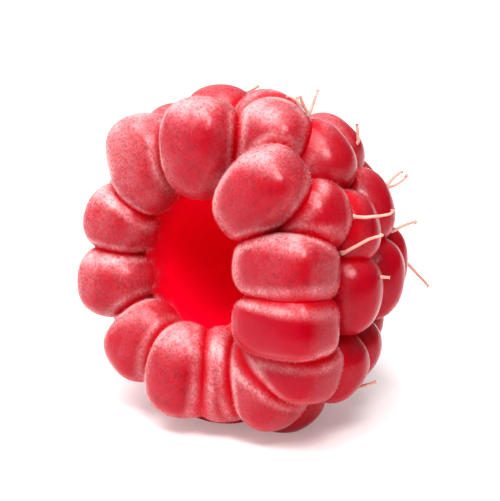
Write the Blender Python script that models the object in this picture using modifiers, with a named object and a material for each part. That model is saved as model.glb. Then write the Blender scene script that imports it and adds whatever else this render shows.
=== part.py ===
"""A picked raspberry, lying on its side with its mouth towards -Y and its tip towards +Y.

Run it with blender --background --python part.py, or from Blender's text editor.
Lengths are in metres, +Z is up, and the fruit lies on the plane z = 0.

The fruit grew as one body: rings of drupelets round the hollow that is left where it was pulled
off its core. Each drupelet is a wedge-shaped pillow with its root in the wall of the hollow.
"""

import math
import random

import bmesh
import bpy
from mathutils import Matrix, Vector

MM = 0.001

# The whole fruit. Distances along its axis are counted from the middle of the mouth.
FRUIT_RADIUS = 10.4 * MM
FRUIT_LENGTH = 15.0 * MM
GIRTH_AT = 5.2 * MM  # where the outside is widest
HOLLOW_RADIUS = 4.3 * MM
HOLLOW_DEPTH = 9.9 * MM
HOLLOW_GIRTH_AT = 2.6 * MM
HOLLOW_MOUTH_AT = 2.4 * MM
WALL = 3.3 * MM  # the flesh that the roots of the drupelets share
WALL_MOUTH_AT = 4.4 * MM  # its outside starts behind the drupelets of the mouth

# How it lies. The axis dips towards the tip, because the fruit narrows that way.
MOUTH_CENTRE = Vector((-0.1 * MM, -6.5 * MM, 10.9 * MM))
TIP_DIP = math.radians(12.0)
SETTLED = 0.5 * MM  # how far the soft drupelets underneath are pressed flat

# The mouth ring, clockwise from the top as seen from outside. For each drupelet: its turn and its
# lean off the straight line from the axis, in degrees, how far from the axis it begins and ends,
# its breadth, and how far it stands out of the ring towards the mouth, in millimetres.
MOUTH_RING = (
    (353, 0, 3.6, 9.7, 5.1, 0.2),
    (20, 0, 4.0, 10.7, 5.2, -2.0),
    (43, 0, 3.6, 10.2, 4.9, 0.9),
    (60, 0, 4.0, 10.5, 4.6, -1.3),
    (81, 3, 3.7, 10.2, 4.5, 0.4),
    (106, -26, 4.4, 11.0, 4.2, 0.4),
    (122, -22, 5.2, 11.5, 4.1, -1.0),
    (140, -8, 5.0, 11.1, 4.5, -1.2),
    (158, 6, 4.0, 9.7, 3.8, -0.7),
    (175, 0, 3.7, 9.4, 4.7, 0.5),
    (209, 0, 3.8, 8.9, 4.4, 0.1),
    (246, 14, 4.1, 8.8, 4.5, 0.1),
    (279, 3, 4.0, 8.5, 4.4, 0.0),
    (314, 24, 3.8, 9.9, 4.6, 0.1),
)
BOXY = (4, 5, 6)  # which of them, counted from 0, pressed hardest on each other
MOUTH_AT = 2.1 * MM  # the middle of this ring
MOUTH_DEPTH = 4.3 * MM  # what each of its drupelets measures along the axis

# The other rings step over the outside towards the tip, and hold as many drupelets as fit.
RINGS = 5
MOUTH_LATITUDE = math.radians(-13.0)
LATITUDE_STEP = math.radians(21.5)
FIRST_TURN = math.radians(9.5)
PITCH = 4.0 * MM
BROADEST = 0.66  # the share of a drupelet's length, from its root, where it is broadest
PRESSED = 1.24  # how much wider it is than its place, so that it meets its neighbours
ROOT_SINK = 0.3 * MM
FULLER_BY = 0.7 * MM  # one side of the fruit grew fuller than the rest
FULLER_TURN = math.radians(122.0)

# One drupelet, as a unit shape: a rounded pillow that narrows to its root.
# Squareness: 2 is an ellipsoid, and more is squarer.
MOUTH_CUTS = 4
MOUTH_SQUARENESS = 2.4
BOXY_SQUARENESS = 3.0
MOUTH_NARROWING = 0.12
CUTS = 3
SQUARENESS = 2.3
NARROWING = 0.3

SEED = 4


def clear_scene():
    for obj in list(bpy.data.objects):
        bpy.data.objects.remove(obj, do_unlink=True)


def new_collection(name):
    collection = bpy.data.collections.new(name)
    bpy.context.scene.collection.children.link(collection)
    return collection


def fruit_frame():
    """The matrix from the fruit's own space, +Z from mouth to tip and -Y up, to where it lies."""
    return Matrix.Translation(MOUTH_CENTRE) @ Matrix.Rotation(-math.pi / 2 - TIP_DIP, 4, "X")


def on_oval(latitude, girth_at, length, radius):
    """(distance along the axis, distance from it) of a point on the outside or on the hollow."""
    return girth_at + (length - girth_at) * math.sin(latitude), radius * math.cos(latitude)


def in_fruit(turn, along, away):
    """A point in the fruit's own space, turned clockwise from the top."""
    return Vector((away * math.sin(turn), -away * math.cos(turn), along))


def pillow_mesh(cuts, squareness, narrowing):
    """A cube drawn out to a squarish ball of radius 1, narrowed towards its root at z = -1."""
    shape = bmesh.new()
    bmesh.ops.create_cube(shape, size=2.0)
    bmesh.ops.subdivide_edges(shape, edges=shape.edges, cuts=cuts, use_grid_fill=True)
    for vertex in shape.verts:
        even = Vector(math.tan(c * math.pi / 4) for c in vertex.co).normalized()
        vertex.co = even * sum(abs(c) ** squareness for c in even) ** (-1 / squareness)
        narrow = 1 + narrowing * (vertex.co.z - 0.32)
        vertex.co.x *= narrow
        vertex.co.y *= narrow
    mesh = bpy.data.meshes.new("pillow")
    shape.to_mesh(mesh)
    shape.free()
    mesh.shade_smooth()
    return mesh


def placed(root, end, turn, breadth, depth):
    """The matrix that stretches a pillow from its root to its outer end."""
    outwards = (end - root).normalized()
    across = in_fruit(turn + math.pi / 2, 0, 1)
    lengthways = outwards.cross(across)
    half = across * breadth / 2, lengthways * depth / 2, (end - root) / 2
    place = Matrix(half).transposed().to_4x4()
    place.translation = (root + end) / 2
    return place


def mouth_places():
    """The matrix of each drupelet of the mouth ring."""
    places = []
    for turn, lean, inner, outer, breadth, forward in MOUTH_RING:
        along = MOUTH_AT - forward * MM
        middle = in_fruit(math.radians(turn), along, (inner + outer) / 2 * MM)
        lean_turn = math.radians(turn + lean)
        reach = in_fruit(lean_turn, 0, (outer - inner) / 2 * MM)
        places.append(
            placed(middle - reach, middle + reach, lean_turn, breadth * MM, MOUTH_DEPTH)
        )
    return places


def ring_places(latitude, start, count, draw):
    """The matrix of each drupelet of another ring. Even rings would look made, so each strays."""
    places = []
    step = math.tau / count
    for i in range(count):
        turn = start + step * (i + draw.uniform(-0.08, 0.08))
        lat = latitude + math.radians(draw.uniform(-2.0, 2.0))
        root = in_fruit(turn, *on_oval(lat, HOLLOW_GIRTH_AT, HOLLOW_DEPTH, HOLLOW_RADIUS))
        end = in_fruit(turn, *on_oval(lat, GIRTH_AT, FRUIT_LENGTH, FRUIT_RADIUS))
        outwards = (end - root).normalized()
        root += outwards * ROOT_SINK
        end += outwards * draw.uniform(-0.35, 0.25) * MM
        end += outwards * FULLER_BY * max(0.0, math.cos(turn - FULLER_TURN)) ** 3
        size = draw.uniform(0.95, 1.05)
        breadth = size * PRESSED * step * broad_radius(latitude)
        places.append(placed(root, end, turn, breadth, size * PRESSED * broad_depth()))
    return places


def broad_radius(latitude):
    """How far from the axis the drupelets of a ring are broadest."""
    inner = on_oval(latitude, HOLLOW_GIRTH_AT, HOLLOW_DEPTH, HOLLOW_RADIUS)[1]
    outer = on_oval(latitude, GIRTH_AT, FRUIT_LENGTH, FRUIT_RADIUS)[1]
    return inner + BROADEST * (outer - inner)


def broad_depth():
    """How far apart neighbouring rings are where their drupelets are broadest."""
    away = HOLLOW_RADIUS + BROADEST * (FRUIT_RADIUS - HOLLOW_RADIUS)
    inner = HOLLOW_DEPTH - HOLLOW_GIRTH_AT
    along = inner + BROADEST * (FRUIT_LENGTH - GIRTH_AT - inner)
    return LATITUDE_STEP * (away + along) / 2


def drupelet_places():
    """The matrix of each drupelet of the other rings, on to the tip."""
    draw = random.Random(SEED)
    places = []
    start = FIRST_TURN
    for ring in range(1, RINGS):
        latitude = MOUTH_LATITUDE + ring * LATITUDE_STEP
        count = max(3, round(math.tau * broad_radius(latitude) / PITCH))
        places += ring_places(latitude, start, count, draw)
        start += math.pi / count
    return places


def oval_profile(start_at, girth_at, length, radius, steps=9):
    """Points (distance along the axis, distance from it) down an oval from start_at to its tip."""
    start = math.asin((start_at - girth_at) / (length - girth_at))
    latitudes = [start + (math.pi / 2 - start) * i / steps for i in range(steps + 1)]
    return [on_oval(latitude, girth_at, length, radius) for latitude in latitudes]


def hollow_wall():
    """The wall that the drupelets root in: a turned cup, open at the mouth."""
    inside = oval_profile(HOLLOW_MOUTH_AT, HOLLOW_GIRTH_AT, HOLLOW_DEPTH, HOLLOW_RADIUS)
    outside = oval_profile(
        WALL_MOUTH_AT, HOLLOW_GIRTH_AT, HOLLOW_DEPTH + WALL, HOLLOW_RADIUS + WALL
    )
    outline = outside[::-1] + inside
    mesh = bpy.data.meshes.new("hollow_wall")
    corners = [(away, 0, along) for along, away in outline]
    mesh.from_pydata(corners, [(i, i + 1) for i in range(len(corners) - 1)], [])
    wall = bpy.data.objects.new("hollow_wall", mesh)
    screw = wall.modifiers.new("turned", "SCREW")
    screw.steps = screw.render_steps = 36
    screw.use_merge_vertices = True
    screw.merge_threshold = 0.01 * MM
    return wall


def flesh_material():
    flesh = bpy.data.materials.new("red_flesh")
    flesh.use_nodes = True
    surface = flesh.node_tree.nodes["Principled BSDF"]
    surface.inputs["Base Color"].default_value = (0.62, 0.02, 0.04, 1)
    surface.inputs["Roughness"].default_value = 0.45
    surface.inputs["Metallic"].default_value = 0.0
    return flesh


def join_drupelets(wall, frame):
    """One body of the wall and all drupelets, as a mesh in the world."""
    growth = new_collection("drupelets")
    mouth_pillow = pillow_mesh(MOUTH_CUTS, MOUTH_SQUARENESS, MOUTH_NARROWING)
    boxy_pillow = pillow_mesh(MOUTH_CUTS, BOXY_SQUARENESS, MOUTH_NARROWING)
    pillow = pillow_mesh(CUTS, SQUARENESS, NARROWING)
    mouth = [
        (boxy_pillow if i in BOXY else mouth_pillow, place)
        for i, place in enumerate(mouth_places())
    ]
    for shape, place in mouth + [(pillow, place) for place in drupelet_places()]:
        drupelet = bpy.data.objects.new("drupelet", shape)
        growth.objects.link(drupelet)
        drupelet.matrix_world = frame @ place
    wall.matrix_world = frame
    join = wall.modifiers.new("drupelets", "BOOLEAN")
    join.operation = "UNION"
    join.operand_type = "COLLECTION"
    join.collection = growth
    join.solver = "MANIFOLD"
    bpy.context.view_layer.update()
    graph = bpy.context.evaluated_depsgraph_get()
    mesh = bpy.data.meshes.new_from_object(wall.evaluated_get(graph))
    mesh.transform(frame)
    for obj in [wall, *growth.objects]:
        bpy.data.objects.remove(obj)
    bpy.data.collections.remove(growth)
    return mesh


def table_cutter(collection):
    """What lies under z = 0, where the soft fruit is pressed flat."""
    side = 4 * FRUIT_RADIUS
    shape = bmesh.new()
    bmesh.ops.create_cube(shape, size=side)
    mesh = bpy.data.meshes.new("table_cutter")
    shape.to_mesh(mesh)
    shape.free()
    cutter = bpy.data.objects.new("table_cutter", mesh)
    cutter.location.z = -side / 2
    cutter.hide_render = True
    cutter.display_type = "WIRE"
    collection.objects.link(cutter)
    return cutter


def main():
    clear_scene()
    fruit = new_collection("raspberry")
    cutters = new_collection("cutters")
    frame = Matrix.Translation((0, 0, -SETTLED)) @ fruit_frame()
    wall = hollow_wall()
    fruit.objects.link(wall)
    mesh = join_drupelets(wall, frame)
    mesh.name = "raspberry"
    mesh.materials.clear()
    mesh.materials.append(flesh_material())
    mesh.shade_smooth()
    mesh.set_sharp_from_angle(angle=math.radians(42))
    raspberry = bpy.data.objects.new("raspberry", mesh)
    fruit.objects.link(raspberry)
    flat = raspberry.modifiers.new("pressed_flat", "BOOLEAN")
    flat.operation = "DIFFERENCE"
    flat.object = table_cutter(cutters)


main()
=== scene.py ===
"""The looks of a picked raspberry: its flesh, its down, its dried styles, and a plain studio."""

import math
import random

import bmesh
import bpy
import numpy as np
from mathutils import Matrix, Vector
from mathutils.bvhtree import BVHTree


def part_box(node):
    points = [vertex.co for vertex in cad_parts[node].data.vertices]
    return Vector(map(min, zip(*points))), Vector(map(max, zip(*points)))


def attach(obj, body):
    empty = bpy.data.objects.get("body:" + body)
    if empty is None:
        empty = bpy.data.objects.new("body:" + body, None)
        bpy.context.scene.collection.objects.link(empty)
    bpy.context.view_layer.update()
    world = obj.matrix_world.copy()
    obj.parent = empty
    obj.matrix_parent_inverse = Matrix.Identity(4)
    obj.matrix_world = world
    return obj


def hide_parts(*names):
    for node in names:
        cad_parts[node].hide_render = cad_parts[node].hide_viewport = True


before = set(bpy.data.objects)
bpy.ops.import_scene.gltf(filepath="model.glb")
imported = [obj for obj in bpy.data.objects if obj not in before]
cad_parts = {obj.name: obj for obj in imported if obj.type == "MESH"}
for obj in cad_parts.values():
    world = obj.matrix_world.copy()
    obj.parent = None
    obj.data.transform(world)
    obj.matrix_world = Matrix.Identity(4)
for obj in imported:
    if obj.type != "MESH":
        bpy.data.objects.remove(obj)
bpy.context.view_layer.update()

# ---------------------------------------------------------------------------------------------
# The fruit. One body of soft red flesh that grew as rings of drupelets round the hollow left by
# its core. Each drupelet is a juicy pillow in a thin skin, pressed against its neighbours, with
# its root in the wall of the hollow. It lies on its side, mouth towards -Y and tip towards +Y.

MM = 0.001

# The whole fruit. Distances along its axis are counted from the middle of the mouth.
FRUIT_RADIUS = 10.4 * MM
FRUIT_LENGTH = 15.0 * MM
GIRTH_AT = 5.2 * MM  # where the outside is widest
HOLLOW_RADIUS = 4.3 * MM
HOLLOW_DEPTH = 9.9 * MM
HOLLOW_GIRTH_AT = 2.6 * MM
HOLLOW_MOUTH_AT = 2.4 * MM
WALL = 3.3 * MM  # the flesh that the roots of the drupelets share
WALL_MOUTH_AT = 4.4 * MM  # its outside starts behind the drupelets of the mouth

# How it lies: the axis dips towards the tip, and the drupelets underneath are pressed flat.
MOUTH_CENTRE = Vector((-0.1 * MM, -6.5 * MM, 10.9 * MM))
TIP_DIP = math.radians(12.0)
SETTLED = 0.5 * MM  # how far they are pressed

# The mouth ring, clockwise from the top as seen from outside. For each drupelet: its turn and its
# lean off the straight line from the axis, in degrees, how far from the axis it begins and ends,
# its breadth, and how far it stands out of the ring towards the mouth, in millimetres.
MOUTH_RING = (
    (353, 0, 3.6, 9.7, 5.1, 0.2),
    (20, 0, 4.0, 10.7, 5.2, -2.0),
    (43, 0, 3.6, 10.2, 4.9, 0.9),
    (60, 0, 4.0, 10.5, 4.6, -1.3),
    (81, 3, 3.7, 10.2, 4.5, 0.4),
    (106, -26, 4.4, 11.0, 4.2, 0.4),
    (122, -22, 5.2, 11.5, 4.1, -1.0),
    (140, -8, 5.0, 11.1, 4.5, -1.2),
    (158, 6, 4.0, 9.7, 3.8, -0.7),
    (175, 0, 3.7, 9.4, 4.7, 0.5),
    (209, 0, 3.8, 8.9, 4.4, 0.1),
    (246, 14, 4.1, 8.8, 4.5, 0.1),
    (279, 3, 4.0, 8.5, 4.4, 0.0),
    (314, 24, 3.8, 9.9, 4.6, 0.1),
)
BOXY = (4, 5, 6)  # which of them, counted from 0, pressed hardest on each other
MOUTH_AT = 2.1 * MM  # the middle of this ring
MOUTH_DEPTH = 4.3 * MM  # what each of its drupelets measures along the axis

# The other rings step over the outside towards the tip, and hold as many drupelets as fit.
RINGS = 5
MOUTH_LATITUDE = math.radians(-13.0)
LATITUDE_STEP = math.radians(21.5)
FIRST_TURN = math.radians(9.5)
PITCH = 4.0 * MM
BROADEST = 0.66  # the share of a drupelet's length, from its root, where it is broadest
PRESSED = 1.24  # how much wider it is than its place, so that it meets its neighbours
ROOT_SINK = 0.3 * MM
FULLER_BY = 0.7 * MM  # one side of the fruit grew fuller than the rest
FULLER_TURN = math.radians(122.0)

# Even rings would look made, so each of their drupelets strays a little: its turn, as a share of
# the step, its latitude, in degrees, its end, in millimetres, and its size.
STRAY_TURN = 0.08
STRAY_LATITUDE = 2.0
STRAY_END = (-0.35, 0.25)
STRAY_SIZE = 0.05
RING_SEED = 4

# One drupelet, as a unit shape. Squareness: 2 is an ellipsoid, and more is squarer.
MOUTH_SQUARENESS = 2.4
BOXY_SQUARENESS = 3.0
MOUTH_NARROWING = 0.12
SQUARENESS = 2.3
NARROWING = 0.3
BROADEST_OUT = 0.32  # how far out it has its full breadth, from -1 at its root to 1 at its end
CUTS = 15

# Soft flesh is never quite even: how deep its dents are, and how far apart.
DENT = 0.16 * MM
DENT_SIZE = 2.6 * MM
PRESS_SIDE = 100 * MM  # the block that presses the lowest drupelets flat

# The pale on the skin: the bloom of its down, with painted light and a painted sheen laid in.
# How much of it each drupelet of the mouth ring has, from 0 to 1, bloom and painted light
# together, and how far it is cleared where that drupelet bulges most, which leaves a painted
# sheen round its edges. The other drupelets draw theirs.
MOUTH_BLOOM_AND_LIGHT = (0.85, 0.85, 0.85, 0.3, 0.85, 0.4, 0.4, 0.5, 0.7, 1.0, 0.5, 1.0, 1.0, 0.85)
MOUTH_FACE_CLEARED = (0.8, 0.8, 0.85, 0.7, 0.85, 1.0, 1.0, 0.6, 0.4, 0.85, 0.7, 0.7, 0.7, 0.5)
OTHER_BLOOM = (0.2, 0.65)
OTHER_FACE_CLEARED = 0.7
BLOOM_SEED = 11
LIT_SIDE = (-0.55, -0.35, 0.6)  # painted light: the side the light comes from, which is painted paler
LEAST_LIT = 0.3  # the share of it that the side away from the light gets, a painted shade
RIM_SHEEN = 0.75  # painted sheen: how much paler a band beside each groove is painted
FREE_SIDE = (0.15, 0, -1.0)  # where the mouth ring has no neighbours, in the fruit's own space

# How far the grooves reach up a drupelet, as a share of its half size; their brighter red is a
# painted glow of light through the flesh. The bright red of the hollow, a painted glow of the
# light that shines through its wall, fades out past its wall and sets in behind the mouth.
GROOVE_REACH = 0.24
HOLLOW_PAST_WALL = 0.9 * MM
HOLLOW_FADES_OUT = 0.8 * MM
HOLLOW_FROM_MOUTH = 1.8 * MM
HOLLOW_FADES_IN = 2.4 * MM

# The patterns in the skin: how many of their patches there are to the metre.
GRAIN = 6500.0
SPOTS = 3000.0
CLOUD = 620.0
GRAIN_HEIGHT = 0.05 * MM
LIGHT_REACH = 3.0 * MM  # how far light spreads in the flesh

FLESH_RED = (0.39, 0.0, 0.02, 1)
DEEP_RED = (0.31, 0.0, 0.019, 1)
# Painted glow: the hollow and the grooves are a brighter red than the flesh, for the light that
# shines through it.
HOLLOW_GLOW_RED = (0.9, 0.0, 0.06, 1)
GROOVE_GLOW_RED = (0.56, 0.0, 0.02, 1)
# The pale of the bloom, which also carries painted light and painted sheen.
FROST_AND_SHEEN_PINK = (0.72, 0.46, 0.47, 1)


def fruit_frame():
    """The matrix from the fruit's own space, +Z from mouth to tip and -Y up, to where it lies."""
    settled = Matrix.Translation((0, 0, -SETTLED))
    turned = Matrix.Rotation(-math.pi / 2 - TIP_DIP, 4, "X")
    return settled @ Matrix.Translation(MOUTH_CENTRE) @ turned


def on_oval(latitude, girth_at, length, radius):
    """(distance along the axis, distance from it) of a point on the outside or on the hollow."""
    return girth_at + (length - girth_at) * math.sin(latitude), radius * math.cos(latitude)


def in_fruit(turn, along, away):
    """A point in the fruit's own space, turned clockwise from the top."""
    return Vector((away * math.sin(turn), -away * math.cos(turn), along))


def placed(root, end, turn, breadth, depth):
    """A drupelet from its root to its outer end: (middle, directions, half sizes)."""
    outwards = (end - root).normalized()
    across = in_fruit(turn + math.pi / 2, 0, 1)
    directions = Matrix((across, outwards.cross(across), outwards)).transposed()
    half = Vector((breadth, depth, (end - root).length)) / 2
    return (root + end) / 2, directions, half


def mouth_drupelets():
    """Each drupelet of the mouth ring."""
    drupelets = []
    for turn, lean, inner, outer, breadth, forward in MOUTH_RING:
        along = MOUTH_AT - forward * MM
        middle = in_fruit(math.radians(turn), along, (inner + outer) / 2 * MM)
        lean_turn = math.radians(turn + lean)
        reach = in_fruit(lean_turn, 0, (outer - inner) / 2 * MM)
        drupelets.append(
            placed(middle - reach, middle + reach, lean_turn, breadth * MM, MOUTH_DEPTH)
        )
    return drupelets


def broad_radius(latitude):
    """How far from the axis the drupelets of a ring are broadest."""
    inner = on_oval(latitude, HOLLOW_GIRTH_AT, HOLLOW_DEPTH, HOLLOW_RADIUS)[1]
    outer = on_oval(latitude, GIRTH_AT, FRUIT_LENGTH, FRUIT_RADIUS)[1]
    return inner + BROADEST * (outer - inner)


def broad_depth():
    """How far apart neighbouring rings are where their drupelets are broadest."""
    away = HOLLOW_RADIUS + BROADEST * (FRUIT_RADIUS - HOLLOW_RADIUS)
    inner = HOLLOW_DEPTH - HOLLOW_GIRTH_AT
    along = inner + BROADEST * (FRUIT_LENGTH - GIRTH_AT - inner)
    return LATITUDE_STEP * (away + along) / 2


def ring_drupelets(latitude, start, count, draw):
    """Each drupelet of another ring."""
    drupelets = []
    step = math.tau / count
    for i in range(count):
        turn = start + step * (i + draw.uniform(-STRAY_TURN, STRAY_TURN))
        lat = latitude + math.radians(draw.uniform(-STRAY_LATITUDE, STRAY_LATITUDE))
        root = in_fruit(turn, *on_oval(lat, HOLLOW_GIRTH_AT, HOLLOW_DEPTH, HOLLOW_RADIUS))
        end = in_fruit(turn, *on_oval(lat, GIRTH_AT, FRUIT_LENGTH, FRUIT_RADIUS))
        outwards = (end - root).normalized()
        root += outwards * ROOT_SINK
        end += outwards * draw.uniform(*STRAY_END) * MM
        end += outwards * FULLER_BY * max(0.0, math.cos(turn - FULLER_TURN)) ** 3
        size = draw.uniform(1 - STRAY_SIZE, 1 + STRAY_SIZE)
        breadth = size * PRESSED * step * broad_radius(latitude)
        drupelets.append(placed(root, end, turn, breadth, size * PRESSED * broad_depth()))
    return drupelets


def outer_drupelets():
    """Each drupelet of the other rings, on to the tip."""
    draw = random.Random(RING_SEED)
    drupelets = []
    start = FIRST_TURN
    for ring in range(1, RINGS):
        latitude = MOUTH_LATITUDE + ring * LATITUDE_STEP
        count = max(3, round(math.tau * broad_radius(latitude) / PITCH))
        drupelets += ring_drupelets(latitude, start, count, draw)
        start += math.pi / count
    return drupelets


def form_of(number, in_mouth):
    """Which unit shape a drupelet has: 0 in the mouth ring, 1 where that is boxy, 2 elsewhere."""
    if number >= in_mouth:
        return 2
    return 1 if number in BOXY else 0


def drupelet_points(name, drupelets, in_mouth):
    """A point for each drupelet, which carries its turn, its half sizes and its form."""
    mesh = bpy.data.meshes.new(name)
    mesh.from_pydata([middle for middle, _, _ in drupelets], [], [])
    values = {
        "turned": ("QUATERNION", [turned.to_quaternion() for _, turned, _ in drupelets]),
        "half_size": ("FLOAT_VECTOR", [half for _, _, half in drupelets]),
        "form": ("INT", [form_of(i, in_mouth) for i in range(len(drupelets))]),
    }
    for label, (kind, row) in values.items():
        data = mesh.attributes.new(label, kind, "POINT").data
        for item, value in zip(data, row):
            setattr(item, "vector" if kind == "FLOAT_VECTOR" else "value", value)
    points = bpy.data.objects.new(name, mesh)
    bpy.context.scene.collection.objects.link(points)
    return points


def new_tree(name, kind, **sockets):
    """A node tree with named inputs, given as name=(kind of socket, value)."""
    tree = bpy.data.node_groups.new(name, kind)
    for label, (socket_kind, value) in sockets.items():
        label = label.replace("_", " ").capitalize()
        socket = tree.interface.new_socket(label, in_out="INPUT", socket_type=socket_kind)
        if value is not None:
            socket.default_value = value
    tree.nodes.new("NodeGroupInput")
    return tree, tree.nodes["Group Input"].outputs


def add_node(tree, kind, feeds=(), **settings):
    """Adds a node, and feeds each named or numbered input from a socket, several or a value."""
    node = tree.nodes.new(kind)
    for name, value in settings.items():
        setattr(node, name, value)
    for key, value in dict(feeds).items():
        for source in value if isinstance(value, list) else [value]:
            if isinstance(source, bpy.types.NodeSocket):
                tree.links.new(source, node.inputs[key])
            else:
                node.inputs[key].default_value = source
    return node


def maths(tree, operation, *values):
    """The result of a sum on numbers."""
    return add_node(tree, "ShaderNodeMath", enumerate(values), operation=operation).outputs[0]


def vector_maths(tree, operation, *values):
    """The result of a sum on vectors. SCALE takes a vector and a number."""
    feeds = dict(enumerate(values))
    if operation == "SCALE":
        feeds = {0: values[0], "Scale": values[1]}
    node = add_node(tree, "ShaderNodeVectorMath", feeds, operation=operation)
    return node.outputs["Value" if operation in ("DOT_PRODUCT", "LENGTH") else "Vector"]


def ends_in(tree, geometry, material):
    """Ends a tree in plain geometry with its material."""
    tree.interface.new_socket("Geometry", in_out="OUTPUT", socket_type="NodeSocketGeometry")
    whole = add_node(tree, "GeometryNodeRealizeInstances", {"Geometry": geometry})
    finished = add_node(
        tree, "GeometryNodeSetMaterial", {"Geometry": whole.outputs[0], "Material": material}
    )
    add_node(tree, "NodeGroupOutput", {0: finished.outputs[0]})


def pillow_tree():
    """A cube drawn out to a squarish ball of radius 1, narrowed towards its root at z = -1."""
    tree, given = new_tree(
        "drupelet_form",
        "GeometryNodeTree",
        cuts=("NodeSocketInt", CUTS),
        squareness=("NodeSocketFloat", SQUARENESS),
        narrowing=("NodeSocketFloat", NARROWING),
    )
    side = maths(tree, "ADD", given["Cuts"], 2)
    feeds = {"Size": (2, 2, 2), "Vertices X": side, "Vertices Y": side, "Vertices Z": side}
    cube = add_node(tree, "GeometryNodeMeshCube", feeds).outputs["Mesh"]
    corner = add_node(tree, "GeometryNodeInputPosition").outputs[0]
    spread = vector_maths(tree, "TANGENT", vector_maths(tree, "SCALE", corner, math.pi / 4))
    even = vector_maths(tree, "NORMALIZE", spread)
    powers = add_node(tree, "ShaderNodeCombineXYZ", {i: given["Squareness"] for i in range(3)})
    sizes = vector_maths(tree, "ABSOLUTE", even)
    raised = vector_maths(tree, "POWER", sizes, powers.outputs[0])
    total = vector_maths(tree, "DOT_PRODUCT", raised, (1, 1, 1))
    reach = maths(tree, "POWER", total, maths(tree, "DIVIDE", -1, given["Squareness"]))
    ball = vector_maths(tree, "SCALE", even, reach)
    ball = add_node(tree, "ShaderNodeSeparateXYZ", {0: ball}).outputs
    outer = maths(tree, "SUBTRACT", ball[2], BROADEST_OUT)
    narrow = maths(tree, "ADD", maths(tree, "MULTIPLY", given["Narrowing"], outer), 1)
    x = maths(tree, "MULTIPLY", ball[0], narrow)
    y = maths(tree, "MULTIPLY", ball[1], narrow)
    drawn = add_node(tree, "ShaderNodeCombineXYZ", {0: x, 1: y, 2: ball[2]}).outputs[0]
    shape = add_node(tree, "GeometryNodeSetPosition", {"Geometry": cube, "Position": drawn})
    tree.interface.new_socket("Form", in_out="OUTPUT", socket_type="NodeSocketGeometry")
    add_node(tree, "NodeGroupOutput", {0: shape.outputs[0]})
    return tree


def attribute_of(tree, name, kind):
    """An attribute of the points, by its name."""
    return add_node(
        tree, "GeometryNodeInputNamedAttribute", {"Name": name}, data_type=kind
    ).outputs[0]


def fruit_tree():
    """The turned wall of the hollow with a pillow on each point, made one body and set down."""
    tree, given = new_tree(
        "grown_fruit",
        "GeometryNodeTree",
        wall=("NodeSocketGeometry", None),
        drupelets=("NodeSocketObject", None),
        mouth_squareness=("NodeSocketFloat", MOUTH_SQUARENESS),
        boxy_squareness=("NodeSocketFloat", BOXY_SQUARENESS),
        mouth_narrowing=("NodeSocketFloat", MOUTH_NARROWING),
        squareness=("NodeSocketFloat", SQUARENESS),
        narrowing=("NodeSocketFloat", NARROWING),
        cuts=("NodeSocketInt", CUTS),
        dent=("NodeSocketFloat", DENT),
        dent_size=("NodeSocketFloat", DENT_SIZE),
        seed=("NodeSocketFloat", 0.0),
        press_side=("NodeSocketFloat", PRESS_SIDE),
        lies_at=("NodeSocketVector", (0, 0, 0)),
        lies_turned=("NodeSocketVector", (0, 0, 0)),
        flesh=("NodeSocketMaterial", None),
    )
    points = add_node(tree, "GeometryNodeObjectInfo", {"Object": given["Drupelets"]})
    kind = attribute_of(tree, "form", "INT")
    form = pillow_tree()
    rings = []
    for number, squareness, narrowing in (
        (0, "Mouth squareness", "Mouth narrowing"),
        (1, "Boxy squareness", "Mouth narrowing"),
        (2, "Squareness", "Narrowing"),
    ):
        feeds = {
            "Cuts": given["Cuts"],
            "Squareness": given[squareness],
            "Narrowing": given[narrowing],
        }
        pillow = add_node(tree, "GeometryNodeGroup", feeds, node_tree=form)
        has_form = add_node(
            tree,
            "FunctionNodeCompare",
            {2: kind, 3: number},
            data_type="INT",
            operation="EQUAL",
        )
        feeds = {
            "Points": points.outputs["Geometry"],
            "Selection": has_form.outputs[0],
            "Instance": pillow.outputs[0],
            "Rotation": attribute_of(tree, "turned", "QUATERNION"),
            "Scale": attribute_of(tree, "half_size", "FLOAT_VECTOR"),
        }
        rings.append(add_node(tree, "GeometryNodeInstanceOnPoints", feeds).outputs[0])
    body = add_node(
        tree,
        "GeometryNodeMeshBoolean",
        {"Mesh 2": [given["Wall"], *rings]},
        operation="UNION",
        solver="MANIFOLD",
    ).outputs["Mesh"]
    feeds = {
        "Scale": maths(tree, "DIVIDE", 1, given["Dent size"]),
        "Detail": 1.0,
        "W": given["Seed"],
    }
    swell = add_node(tree, "ShaderNodeTexNoise", feeds, noise_dimensions="4D").outputs["Color"]
    swell = vector_maths(tree, "SUBTRACT", swell, (0.5, 0.5, 0.5))
    swell = vector_maths(tree, "SCALE", swell, given["Dent"])
    dented = add_node(tree, "GeometryNodeSetPosition", {"Geometry": body, "Offset": swell})
    lying = add_node(
        tree,
        "GeometryNodeTransform",
        {
            "Geometry": dented.outputs[0],
            "Translation": given["Lies at"],
            "Rotation": given["Lies turned"],
        },
    ).outputs[0]
    size = vector_maths(tree, "SCALE", (1, 1, 1), given["Press side"])
    lower = vector_maths(tree, "SCALE", (0, 0, -0.5), given["Press side"])
    under = add_node(tree, "GeometryNodeMeshCube", {"Size": size}).outputs["Mesh"]
    under = add_node(
        tree, "GeometryNodeTransform", {"Geometry": under, "Translation": lower}
    ).outputs[0]
    pressed = add_node(
        tree,
        "GeometryNodeMeshBoolean",
        {"Mesh 1": lying, "Mesh 2": under},
        operation="DIFFERENCE",
        solver="MANIFOLD",
    ).outputs["Mesh"]
    smooth = add_node(tree, "GeometryNodeSetShadeSmooth", {"Geometry": pressed}).outputs[0]
    ends_in(tree, smooth, given["Flesh"])
    return tree


def grow(obj, tree, **values):
    """Puts a tree on an object as a modifier, with its inputs set by their identifiers."""
    modifier = obj.modifiers.new(tree.name, "NODES")
    modifier.node_group = tree
    sockets = {s.name: s.identifier for s in tree.interface.items_tree if s.in_out == "INPUT"}
    for label, value in values.items():
        modifier[sockets[label.replace("_", " ").capitalize()]] = value


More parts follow.
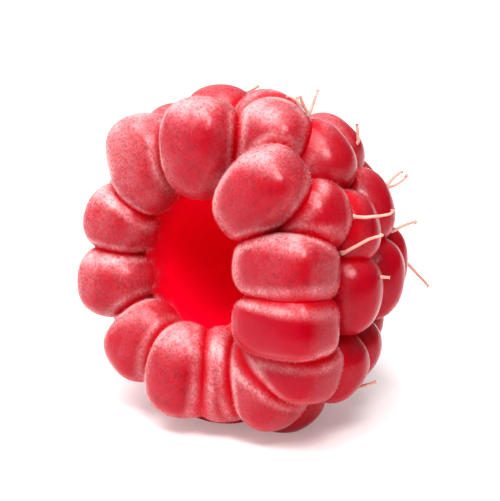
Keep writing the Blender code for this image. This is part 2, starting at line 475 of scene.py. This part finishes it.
def plain_piece(name, obj):
    """The evaluated result of an object as a plain mesh on a new object; the first one goes."""
    bpy.context.view_layer.update()
    evaluated = obj.evaluated_get(bpy.context.evaluated_depsgraph_get())
    mesh = bpy.data.meshes.new_from_object(evaluated)
    mesh.name = name
    bpy.data.objects.remove(obj)
    piece = bpy.data.objects.new(name, mesh)
    bpy.context.scene.collection.objects.link(piece)
    return piece


def one_body(mesh):
    """Leaves the largest closed skin, without the slivers and pockets shut in between pillows."""
    skin = bmesh.new()
    skin.from_mesh(mesh)
    left = set(skin.verts)
    bodies = []
    while left:
        body = [left.pop()]
        for vertex in body:
            for edge in vertex.link_edges:
                other = edge.other_vert(vertex)
                if other in left:
                    left.remove(other)
                    body.append(other)
        bodies.append(body)
    inner = [vertex for body in sorted(bodies, key=len)[:-1] for vertex in body]
    bmesh.ops.delete(skin, geom=inner, context="VERTS")
    skin.to_mesh(mesh)
    skin.free()


def oval_profile(start_at, girth_at, length, radius, steps=24):
    """Points (distance along the axis, distance from it) down an oval from start_at to its tip."""
    start = math.asin((start_at - girth_at) / (length - girth_at))
    latitudes = [start + (math.pi / 2 - start) * i / steps for i in range(steps + 1)]
    return [on_oval(latitude, girth_at, length, radius) for latitude in latitudes]


def hollow_wall():
    """The wall that the drupelets root in: a turned cup, open at the mouth."""
    inside = oval_profile(HOLLOW_MOUTH_AT, HOLLOW_GIRTH_AT, HOLLOW_DEPTH, HOLLOW_RADIUS)
    outside = oval_profile(
        WALL_MOUTH_AT, HOLLOW_GIRTH_AT, HOLLOW_DEPTH + WALL, HOLLOW_RADIUS + WALL
    )
    outline = outside[::-1] + inside
    mesh = bpy.data.meshes.new("hollow_wall")
    corners = [(away, 0, along) for along, away in outline]
    mesh.from_pydata(corners, [(i, i + 1) for i in range(len(corners) - 1)], [])
    wall = bpy.data.objects.new("hollow_wall", mesh)
    screw = wall.modifiers.new("turned", "SCREW")
    screw.steps = screw.render_steps = 72
    screw.use_merge_vertices = True
    screw.merge_threshold = 0.01 * MM
    bpy.context.scene.collection.objects.link(wall)
    return wall


def smooth_step(values, low, high):
    """Brings values from one range to 0..1, smoothly."""
    share = np.clip((values - low) / (high - low), 0, 1)
    return share * share * (3 - 2 * share)


def nearest_drupelets(places, drupelets, in_mouth):
    """For each place: its drupelet, how much further off the next one is, and how far out it
    lies along its own, from -1 to 1."""
    forms = (
        (MOUTH_SQUARENESS, MOUTH_NARROWING),
        (BOXY_SQUARENESS, MOUTH_NARROWING),
        (SQUARENESS, NARROWING),
    )
    distances, heights = [], []
    for i, (middle, directions, half) in enumerate(drupelets):
        square, narrow = forms[form_of(i, in_mouth)]
        unit = (places - np.array(middle)) @ np.array(directions) / np.array(half)
        unit[:, :2] /= np.maximum(1 + narrow * (unit[:, 2:] - BROADEST_OUT), 0.2)
        distances.append((np.abs(unit) ** square).sum(1) ** (1 / square))
        heights.append(unit[:, 2])
    distances, heights = np.array(distances), np.array(heights)
    owner, second = np.argsort(distances, axis=0)[:2]
    here = np.arange(len(places))
    return owner, distances[second, here] - distances[owner, here], heights[owner, here]


def in_hollow(places):
    """How far each place lies in the hollow, from 0 outside it to 1 on its wall."""
    along = places[:, 2]
    from_girth = (along - HOLLOW_GIRTH_AT) / (HOLLOW_DEPTH - HOLLOW_GIRTH_AT)
    radius = HOLLOW_RADIUS * np.sqrt(np.clip(1 - from_girth**2, 0, 1))
    away = np.hypot(places[:, 0], places[:, 1])
    near = np.clip((radius + HOLLOW_PAST_WALL - away) / HOLLOW_FADES_OUT, 0, 1)
    return near * np.clip((along - HOLLOW_FROM_MOUTH) / HOLLOW_FADES_IN, 0, 1)


def kept_blooms_and_light(drupelets, in_mouth, turned, toward_light):
    """How pale each drupelet is painted in all: the haze its down kept, and painted light, with
    painted shade on those behind the mouth ring that face away from the light.
    """
    draw = random.Random(BLOOM_SEED)
    kept = list(MOUTH_BLOOM_AND_LIGHT)
    for _, directions, _ in drupelets[in_mouth:]:
        # Painted shade: those that face away from the light get less of the pale.
        to_light = smooth_step((turned @ np.array(directions)[:, 2]) @ toward_light, -0.6, 0.5)
        kept.append(draw.uniform(*OTHER_BLOOM) * (LEAST_LIT + (1 - LEAST_LIT) * to_light))
    return np.array(kept)


def bulge_directions(drupelets, in_mouth, turned):
    """The way each drupelet bulges most, where the pale painted on it is cleared."""
    bulges = []
    for i, (_, directions, _) in enumerate(drupelets):
        bulge = np.array(directions)[:, 2]
        if i < in_mouth:
            bulge = bulge * 0.2 + np.array(FREE_SIDE)
        bulge = turned @ bulge
        bulges.append(bulge / np.linalg.norm(bulge))
    return np.array(bulges)


def mark_flesh(mesh, drupelets, in_mouth, lies):
    """Attributes of the skin: how deep in a groove, how far out on its drupelet, how far inside
    the hollow, how pale it is painted here, for its down and for painted light and painted sheen,
    and how pale its drupelet is painted in all."""
    places, normals = np.empty((2, len(mesh.vertices) * 3))
    mesh.vertices.foreach_get("co", places)
    mesh.vertices.foreach_get("normal", normals)
    normals = normals.reshape(-1, 3)
    back, turned = np.array(lies.inverted()), np.array(lies.to_3x3())
    places = places.reshape(-1, 3) @ back[:3, :3].T + back[:3, 3]
    owner, gap, height = nearest_drupelets(places, drupelets, in_mouth)

    toward_light = np.array(LIT_SIDE) / np.linalg.norm(LIT_SIDE)
    kept = kept_blooms_and_light(drupelets, in_mouth, turned, toward_light)[owner]
    others = len(drupelets) - in_mouth
    face_cleared = np.array([*MOUTH_FACE_CLEARED, *[OTHER_FACE_CLEARED] * others])[owner]
    # The pale is cleared where a drupelet bulges most, so that it stays round its edges as a
    # painted sheen.
    facing = (normals * bulge_directions(drupelets, in_mouth, turned)[owner]).sum(1)
    edge = 0.85 - 0.3 * face_cleared
    clear_face = smooth_step(facing, edge, edge + 0.27)
    clear_face = clear_face * (1 - smooth_step(normals[:, 2], 0.35, 0.8))  # painted light: faces that look up keep their pale
    # Painted light: paler on the side that faces the light.
    facing_light = smooth_step(normals @ toward_light, -0.05, 0.8)
    # Painted sheen: a pale band beside each groove.
    rim = smooth_step(gap, 0.06, 0.18) * (1 - smooth_step(gap, 0.2, 0.4))
    rim = rim * np.where(owner < in_mouth, RIM_SHEEN, RIM_SHEEN * kept)
    bloom = kept * (0.2 + 0.8 * facing_light) * (1 - face_cleared * clear_face)
    bloom = np.clip(bloom + rim * (0.5 + 0.5 * facing_light), 0, 1)

    values = {
        "groove": np.clip(1 - gap / GROOVE_REACH, 0, 1),
        "outness": np.clip(height * 0.5 + 0.5, 0, 1),
        "hollow": in_hollow(places),
        "bloom": bloom,
        "kept": kept,
    }
    for name, value in values.items():
        attribute = mesh.attributes.new(name, "FLOAT", "POINT")
        attribute.data.foreach_set("value", value.astype(np.float32))


def shader_attribute(tree, name):
    """The value of an attribute of the surface, by its name."""
    return add_node(tree, "ShaderNodeAttribute", attribute_name=name).outputs["Fac"]


def mixed(tree, share, first, second):
    """The colour between two, by a share from 0 to 1."""
    mix = add_node(tree, "ShaderNodeMix", data_type="RGBA")
    for index, value in ((0, share), (6, first), (7, second)):
        if isinstance(value, bpy.types.NodeSocket):
            tree.links.new(value, mix.inputs[index])
        else:
            mix.inputs[index].default_value = value
    return mix.outputs[2]


def ranged(tree, value, low, high, to_low=0.0, to_high=1.0):
    """A value brought from one range to another, smoothly, and kept in it."""
    feeds = {
        "Value": value,
        "From Min": low,
        "From Max": high,
        "To Min": to_low,
        "To Max": to_high,
    }
    return add_node(
        tree, "ShaderNodeMapRange", feeds, interpolation_type="SMOOTHSTEP"
    ).outputs["Result"]


def new_material(name):
    """An empty material with its shader: (material, tree, shader's inputs)."""
    material = bpy.data.materials.new(name)
    material.use_nodes = True
    tree = material.node_tree
    return material, tree, tree.nodes["Principled BSDF"].inputs


def patches_group():
    """A mask of soft patches all through a piece. Each material gives it their scale."""
    tree, given = new_tree(
        "natural_patches",
        "ShaderNodeTree",
        scale=("NodeSocketFloat", CLOUD),
        detail=("NodeSocketFloat", 2.0),
        roughness=("NodeSocketFloat", 0.5),
    )
    feeds = {
        "Vector": add_node(tree, "ShaderNodeTexCoord").outputs["Object"],
        "Scale": given["Scale"],
        "Detail": given["Detail"],
        "Roughness": given["Roughness"],
    }
    noise = add_node(tree, "ShaderNodeTexNoise", feeds).outputs["Fac"]
    tree.interface.new_socket("Mask", in_out="OUTPUT", socket_type="NodeSocketFloat")
    add_node(tree, "NodeGroupOutput", {0: noise})
    return tree


PATCHES = patches_group()


def patches(tree, scale, detail=2.0, roughness=0.5):
    """The mask of the patches, at this scale."""
    feeds = {"Scale": scale, "Detail": detail, "Roughness": roughness}
    return add_node(tree, "ShaderNodeGroup", feeds, node_tree=PATCHES).outputs["Mask"]


def flesh_material():
    """Thin, juicy red skin with a pale haze of down in fine grain, thinner in the grooves. That
    pale also carries painted light and painted sheen, and the grooves and the hollow are painted a
    brighter red, a painted glow of light shining through the flesh.
    """
    material, tree, surface = new_material("raspberry_flesh")
    groove = shader_attribute(tree, "groove")
    hollow = shader_attribute(tree, "hollow")
    grain = patches(tree, GRAIN)
    frost_and_light = shader_attribute(tree, "bloom")
    for share in (
        ranged(tree, grain, 0.38, 0.52, 0.6, 1.0),
        ranged(tree, patches(tree, CLOUD, 4.0, 0.62), 0.38, 0.6, 0.55, 1.0),
        ranged(tree, shader_attribute(tree, "outness"), 0.0, 0.3, 0.85, 1.0),
        maths(tree, "SUBTRACT", 1.0, groove),
        maths(tree, "SUBTRACT", 1.0, hollow),
    ):
        frost_and_light = maths(tree, "MULTIPLY", frost_and_light, share)
    spots = ranged(tree, patches(tree, SPOTS, 3.0), 0.48, 0.64)
    most = ranged(tree, shader_attribute(tree, "kept"), 0.2, 0.8, 0.2, 1.0)
    red = mixed(tree, maths(tree, "MULTIPLY", spots, most), FLESH_RED, DEEP_RED)
    red = mixed(tree, groove, red, GROOVE_GLOW_RED)
    red = mixed(tree, hollow, red, HOLLOW_GLOW_RED)
    # The pale share carries painted light and painted sheen; the grooves and the hollow are a
    # painted glow.
    tree.links.new(mixed(tree, frost_and_light, red, FROST_AND_SHEEN_PINK), surface["Base Color"])
    tree.links.new(ranged(tree, frost_and_light, 0.0, 0.6, 0.2, 0.3), surface["Roughness"])
    feeds = {"Height": grain, "Strength": 0.35, "Distance": GRAIN_HEIGHT}
    bump = add_node(tree, "ShaderNodeBump", feeds).outputs["Normal"]
    tree.links.new(bump, surface["Normal"])
    surface["IOR"].default_value = 1.37
    surface["Subsurface Weight"].default_value = 1.0
    surface["Subsurface Radius"].default_value = (1.0, 0.1, 0.08)
    surface["Subsurface Scale"].default_value = LIGHT_REACH
    surface["Sheen Weight"].default_value = 0.5
    surface["Sheen Roughness"].default_value = 0.15
    surface["Sheen Tint"].default_value = (1.0, 0.72, 0.76, 1)
    return material


mouth = mouth_drupelets()
drupelets = mouth + outer_drupelets()
points = drupelet_points("drupelet_points", drupelets, len(mouth))
wall = hollow_wall()
lies = fruit_frame()
grow(
    wall,
    fruit_tree(),
    drupelets=points,
    lies_at=lies.translation,
    lies_turned=lies.to_euler(),
    flesh=flesh_material(),
)
fruit = plain_piece("raspberry_flesh", wall)
bpy.data.objects.remove(points)
one_body(fruit.data)
mark_flesh(fruit.data, drupelets, len(mouth), lies)
fruit.data.set_sharp_from_angle(angle=math.radians(40))
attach(fruit, "root")
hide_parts("raspberry")

# ---------------------------------------------------------------------------------------------
# The down. Very short, fine, pale hairs that grow all over the outside of a raspberry and give it
# its velvety bloom. They are left out of the hollow, which tore off its core, and of its flats.

HAIR_LENGTH = 0.16 * MM
HAIR_THICK = 0.009 * MM
HAIRS_PER_MM2 = 55.0
HAIR_SEED = 3
HAIR_LEAN = 0.75  # the most that one leans off the skin, in radians
HAIR_SIZES = (0.6, 1.2)
CLEAR_OF_GROUND = (0.35 * MM, 0.8 * MM)  # between these heights the down sets in
WHERE_BLOOM_AND_LIGHT = (0.12, 0.6)  # and between these amounts of bloom and painted light
DOWN_PALE = (0.8, 0.42, 0.43, 1)
DOWN_PALER = (0.92, 0.66, 0.65, 1)
DOWN_PATCHES = 900.0  # to the metre


def down_tree():
    """A thin three-sided hair on each of many points, leaning off the skin at random."""
    tree, given = new_tree(
        "fine_down",
        "GeometryNodeTree",
        skin=("NodeSocketGeometry", None),
        length=("NodeSocketFloat", HAIR_LENGTH),
        thickness=("NodeSocketFloat", HAIR_THICK),
        per_square_metre=("NodeSocketFloat", HAIRS_PER_MM2 * 1e6),
        lean=("NodeSocketFloat", HAIR_LEAN),
        seed=("NodeSocketInt", HAIR_SEED),
        down=("NodeSocketMaterial", None),
    )
    place = add_node(tree, "GeometryNodeInputPosition").outputs[0]
    height = add_node(tree, "ShaderNodeSeparateXYZ", {0: place}).outputs[2]
    outside = maths(tree, "SUBTRACT", 1, attribute_of(tree, "hollow", "FLOAT"))
    open_skin = maths(tree, "SUBTRACT", 1, attribute_of(tree, "groove", "FLOAT"))
    density = maths(
        tree,
        "MULTIPLY",
        ranged(tree, height, *CLEAR_OF_GROUND),
        maths(tree, "MULTIPLY", outside, open_skin),
    )
    # The down is thicker where the skin is painted paler, painted light and sheen included.
    bloom = ranged(tree, attribute_of(tree, "bloom", "FLOAT"), *WHERE_BLOOM_AND_LIGHT)
    density = maths(tree, "MULTIPLY", density, bloom)
    density = maths(tree, "MULTIPLY", density, given["Per square metre"])
    scattered = add_node(
        tree,
        "GeometryNodeDistributePointsOnFaces",
        {"Mesh": given["Skin"], "Density": density, "Seed": given["Seed"]},
        distribute_method="RANDOM",
    )
    low = vector_maths(tree, "SCALE", (-1, -1, 0), given["Lean"])
    high = vector_maths(tree, "SCALE", (1, 1, 0), given["Lean"])
    lean = add_node(
        tree,
        "FunctionNodeRandomValue",
        {"Min": low, "Max": high, "Seed": given["Seed"]},
        data_type="FLOAT_VECTOR",
    ).outputs["Value"]
    leaning = add_node(tree, "FunctionNodeEulerToRotation", {0: lean}).outputs[0]
    turned = add_node(
        tree,
        "FunctionNodeRotateRotation",
        {0: scattered.outputs["Rotation"], 1: leaning},
        rotation_space="LOCAL",
    ).outputs[0]
    hair = add_node(
        tree,
        "GeometryNodeMeshCone",
        {
            "Vertices": 3,
            "Side Segments": 1,
            "Fill Segments": 1,
            "Radius Top": 0.0,
            "Radius Bottom": maths(tree, "DIVIDE", given["Thickness"], 2),
            "Depth": given["Length"],
        },
    ).outputs["Mesh"]
    size = add_node(
        tree,
        "FunctionNodeRandomValue",
        {2: HAIR_SIZES[0], 3: HAIR_SIZES[1], "Seed": maths(tree, "ADD", given["Seed"], 1)},
        data_type="FLOAT",
    ).outputs[1]
    hairs = add_node(
        tree,
        "GeometryNodeInstanceOnPoints",
        {
            "Points": scattered.outputs["Points"],
            "Instance": hair,
            "Rotation": turned,
            "Scale": size,
        },
    ).outputs[0]
    ends_in(tree, hairs, given["Down"])
    return tree


def down_material():
    """Dry, pale hair, in paler and pinker patches."""
    material, tree, surface = new_material("raspberry_down")
    colour = mixed(tree, patches(tree, DOWN_PATCHES, 1.0), DOWN_PALE, DOWN_PALER)
    tree.links.new(colour, surface["Base Color"])
    surface["Roughness"].default_value = 0.6
    return material


skin = bpy.data.objects.new("skin", fruit.data.copy())
bpy.context.scene.collection.objects.link(skin)
grow(skin, down_tree(), down=down_material())
down = plain_piece("raspberry_down", skin)
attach(down, "root")

# ---------------------------------------------------------------------------------------------
# The styles. A dried, curly, cream-coloured thread that stayed on the crown of many drupelets
# since it was a flower. It roots in the skin, leans towards the tip and lies over the fruit.

STYLE_THICK = 0.23 * MM
STYLE_TAPER = 0.3  # how much thinner it is at its end
STYLE_KNOB = 0.5  # how much thicker the knob at its end is
STYLE_FLARE = 0.7  # how much thicker it is at its root
STYLE_SIDES = 7
STYLE_POINTS = 36
STYLE_STEPS = 14
STYLE_SWAY = 14  # the most that it sways at each step, in degrees
STYLE_CLEAR = 0.12 * MM  # how close to the skin it comes
STYLE_SPARE = 0.018  # how far past the solid's box it may reach, as a share of that box
STYLE_PATCHES = 1400.0  # to the metre
STYLE_CREAM = (0.75, 0.43, 0.37, 1)
STYLE_DRY = (0.69, 0.35, 0.28, 1)

# The drupelet; where on its crown, clockwise and towards the tip, as shares of its half sizes;
# its direction clockwise, towards the tip and outwards; its length in mm; and how it curls.
STYLES = (
    (1, 0.3, 0.42, (-0.6, -0.8, 0.8), 2.5, 12),
    (1, 0.3, 0.42, (-0.75, -0.4, 0.7), 2.2, -40),
    (1, 0.3, 0.46, (-0.28, 0.32, 1.0), 1.8, -8),
    (27, 0.6, -0.4, (-0.6, -0.4, 0.7), 1.2, 5),
    (3, 0.26, 0.56, (0.35, 0.6, 0.7), 2.9, 20),
    (16, 0.6, -0.8, (-0.4, 0.0, 0.9), 3.2, 6),
    (28, -0.3, 0.1, (-0.7, 0.35, 0.6), 1.6, 10),
    (28, 0.7, 0.25, (-0.15, 0.05, 1.0), 2.0, -6),
    (18, 0.3, 0.4, (-0.7, 0.5, 0.7), 1.4, 6),
    (17, -0.5, 0.0, (0.0, 0.1, 1.0), 0.5, 0),
)

# Of the drupelets behind the mouth ring that aren't listed, this share has one. The same values
# for those, each from the least to the most.
STYLE_SHARE = 0.4
STYLE_SEED = 12
SIDES, FORES = (-0.3, 0.3), (-0.1, 0.4)
AIMS = ((-0.7, 0.7), (0.1, 0.9), (0.4, 0.7))
LENGTHS, CURLS = (1.4, 2.8), (-60, 60)


def style_path(skin, box, number, side, fore, aim, length, curl):
    """The points that a style follows from the crown of its drupelet, over skin and inside box."""
    middle, directions, half = drupelets[number]
    sway = random.Random(number)
    out = max(0.05, 1 - abs(side) ** SQUARENESS - abs(fore) ** SQUARENESS) ** (1 / SQUARENESS)
    root = lies @ (middle + directions @ Vector((half.x * side, half.y * fore, half.z * out)))
    near, normal, _, _ = skin.find_nearest(root)
    turned = lies.to_3x3() @ directions
    heading = (turned @ Vector(aim)).normalized()
    bend_axis = heading.cross(normal).normalized()
    bend_axis = (bend_axis * 0.6 + normal * 0.8).normalized()
    path = [near - normal * STYLE_THICK / 2]
    place = near
    step = length * MM / STYLE_STEPS
    for _ in range(STYLE_STEPS):
        path.append(place.copy())
        bend = math.radians(curl) * step / MM
        sway_turn = math.radians(sway.uniform(-STYLE_SWAY, STYLE_SWAY))
        heading = Matrix.Rotation(bend, 3, bend_axis) @ heading
        heading = Matrix.Rotation(sway_turn, 3, normal) @ heading
        place = place + heading * step
        near, normal, _, _ = skin.find_nearest(place)
        height = (place - near).dot(normal)
        if height < STYLE_CLEAR:
            place = place + normal * (STYLE_CLEAR - height)
            heading = (heading + normal * max(0.0, -heading.dot(normal))).normalized()
        for axis in range(3):
            kept = min(max(place[axis], box[0][axis]), box[1][axis])
            if kept != place[axis]:
                place[axis] = kept
                heading[axis] *= 0.2
    return path


def style_tree():
    """A thin round thread along each path, thinner to its end, with a small knob there."""
    tree, given = new_tree(
        "dried_styles",
        "GeometryNodeTree",
        paths=("NodeSocketGeometry", None),
        thickness=("NodeSocketFloat", STYLE_THICK),
        taper=("NodeSocketFloat", STYLE_TAPER),
        knob=("NodeSocketFloat", STYLE_KNOB),
        flare=("NodeSocketFloat", STYLE_FLARE),
        sides=("NodeSocketInt", STYLE_SIDES),
        points=("NodeSocketInt", STYLE_POINTS),
        style=("NodeSocketMaterial", None),
    )
    curves = add_node(tree, "GeometryNodeMeshToCurve", {"Mesh": given["Paths"]}).outputs[0]
    curves = add_node(
        tree, "GeometryNodeCurveSplineType", {"Curve": curves}, spline_type="CATMULL_ROM"
    ).outputs[0]
    feeds = {"Curve": curves, "Count": given["Points"]}
    curves = add_node(tree, "GeometryNodeResampleCurve", feeds).outputs[0]
    along = add_node(tree, "GeometryNodeSplineParameter").outputs["Factor"]
    taper = maths(tree, "SUBTRACT", 1.0, maths(tree, "MULTIPLY", along, given["Taper"]))
    knob = ranged(tree, along, 0.93, 1.0, 0.0, given["Knob"])
    flare = ranged(tree, along, 0.0, 0.12, given["Flare"], 0.0)
    width = maths(tree, "ADD", maths(tree, "ADD", taper, knob), flare)
    ring = add_node(
        tree,
        "GeometryNodeCurvePrimitiveCircle",
        {"Resolution": given["Sides"], "Radius": maths(tree, "DIVIDE", given["Thickness"], 2)},
    ).outputs[0]
    thread = add_node(
        tree,
        "GeometryNodeCurveToMesh",
        {"Curve": curves, "Profile Curve": ring, "Scale": width, "Fill Caps": True},
    ).outputs[0]
    smooth = add_node(tree, "GeometryNodeSetShadeSmooth", {"Geometry": thread}).outputs[0]
    ends_in(tree, smooth, given["Style"])
    return tree


def style_material():
    """Dry, papery thread, cream with a browner patch here and there."""
    material, tree, surface = new_material("raspberry_style")
    patch = ranged(tree, patches(tree, STYLE_PATCHES), 0.45, 0.7)
    tree.links.new(mixed(tree, patch, STYLE_CREAM, STYLE_DRY), surface["Base Color"])
    surface["Roughness"].default_value = 0.55
    surface["Subsurface Weight"].default_value = 0.3
    surface["Subsurface Radius"].default_value = (1.0, 0.5, 0.4)
    surface["Subsurface Scale"].default_value = 0.1 * MM
    return material


def styles_piece():
    """All styles: those listed, and a seeded share of the rest."""
    skin = BVHTree.FromPolygons(
        [vertex.co for vertex in fruit.data.vertices],
        [tuple(face.vertices) for face in fruit.data.polygons],
    )
    low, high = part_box("raspberry")
    spare = (high - low) * STYLE_SPARE
    box = (Vector((low.x, low.y, 0.0)) - Vector((spare.x, spare.y, -STYLE_THICK)), high + spare)
    draw = random.Random(STYLE_SEED)
    chosen = list(STYLES)
    listed = {style[0] for style in STYLES}
    for number in range(len(mouth), len(drupelets)):
        chance, side, fore = draw.random(), draw.uniform(*SIDES), draw.uniform(*FORES)
        aim = tuple(draw.uniform(*span) for span in AIMS)
        length, curl = draw.uniform(*LENGTHS), draw.uniform(*CURLS)
        if number not in listed and chance < STYLE_SHARE:
            chosen.append((number, side, fore, aim, length, curl))
    corners, edges = [], []
    for number, *rest in chosen:
        path = style_path(skin, box, number, *rest)
        if min(point.z for point in path) < STYLE_THICK:
            continue  # the ground rubbed it off
        edges += [(len(corners) + i, len(corners) + i + 1) for i in range(len(path) - 1)]
        corners += path
    mesh = bpy.data.meshes.new("style_paths")
    mesh.from_pydata(corners, edges, [])
    paths = bpy.data.objects.new("style_paths", mesh)
    bpy.context.scene.collection.objects.link(paths)
    grow(paths, style_tree(), style=style_material())
    return plain_piece("raspberry_styles", paths)


styles = styles_piece()
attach(styles, "root")

# ---------------------------------------------------------------------------------------------
# The floor. A plain, pale, matt sheet that the fruit lies on, with a faint glow of its own, as
# if lit from below. It isn't part of the object.

FLOOR_SIDE = 1.2
FLOOR_LOWER = 0.02 * MM  # how far below the fruit's flats it lies
FLOOR_PALE = (0.85, 0.85, 0.85, 1)
FLOOR_GLOW = 0.22


def floor_piece():
    """A flat square."""
    mesh = bpy.data.meshes.new("floor")
    half = FLOOR_SIDE / 2
    mesh.from_pydata(
        [(-half, -half, 0), (half, -half, 0), (half, half, 0), (-half, half, 0)],
        [],
        [(0, 1, 2, 3)],
    )
    material, _, surface = new_material("pale_floor")
    surface["Base Color"].default_value = FLOOR_PALE
    surface["Roughness"].default_value = 0.7
    surface["Specular IOR Level"].default_value = 0.2
    surface["Emission Color"].default_value = (1, 1, 1, 1)
    surface["Emission Strength"].default_value = FLOOR_GLOW
    mesh.materials.append(material)
    floor = bpy.data.objects.new("floor", mesh)
    floor.location.z = -FLOOR_LOWER
    bpy.context.scene.collection.objects.link(floor)
    return floor


floor_piece()

# ---------------------------------------------------------------------------------------------
# The studio. Soft white light from all round, much the strongest from the left, a large soft box
# overhead in front of the mouth, and a small one on the right of it.

# For each soft box: where it hangs and its side, in metres, and its power, in watts.
SOFT_BOXES = {
    "soft_box": ((-0.015, -0.055, 0.18), 0.13, 0.24),
    "small_box": ((0.085, -0.07, 0.15), 0.055, 0.13),
}
BRIGHT_SIDE = (-0.85, -0.2, 0.4)
BRIGHT = 0.66
DIM = 0.06


def soft_box(name, place, side, power):
    """A square light that faces the fruit."""
    light = bpy.data.lights.new(name, "AREA")
    light.shape = "SQUARE"
    light.size = side
    light.energy = power
    box = bpy.data.objects.new(name, light)
    box.location = place
    aim = Vector((0, 0, 0.01)) - Vector(place)
    box.rotation_euler = aim.to_track_quat("-Z", "Y").to_euler()
    bpy.context.scene.collection.objects.link(box)


for name, values in SOFT_BOXES.items():
    soft_box(name, *values)

scene = bpy.context.scene
scene.world = bpy.data.worlds.new("studio")
scene.world.use_nodes = True
sky = scene.world.node_tree
background = sky.nodes["Background"].inputs
background["Color"].default_value = (1, 1, 1, 1)
aim = add_node(sky, "ShaderNodeTexCoord").outputs["Generated"]
brighter = vector_maths(sky, "DOT_PRODUCT", aim, BRIGHT_SIDE)
sky.links.new(ranged(sky, brighter, -0.8, 0.9, DIM, BRIGHT), background["Strength"])
scene.view_settings.view_transform = "Standard"
scene.view_settings.look = "High Contrast"

# The camera looks a little down on the mouth, from its right.
LOOK_TURN = math.radians(41)
LOOK_DOWN = math.radians(20)
STAND_OFF = 0.26
WIDTH_SEEN = 30 * MM
LOOKED_AT = Vector((0.1 * MM, 0.0, 9.4 * MM))

camera = bpy.data.objects.new("camera", bpy.data.cameras.new("camera"))
scene.collection.objects.link(camera)
towards = Vector(
    (
        math.sin(LOOK_TURN) * math.cos(LOOK_DOWN),
        -math.cos(LOOK_TURN) * math.cos(LOOK_DOWN),
        math.sin(LOOK_DOWN),
    )
)
camera.location = LOOKED_AT + towards * STAND_OFF
camera.rotation_euler = (-towards).to_track_quat("-Z", "Y").to_euler()
camera.data.lens = camera.data.sensor_width * STAND_OFF / WIDTH_SEEN
camera.data.clip_start = 0.01
camera.data.clip_end = 10
scene.camera = camera
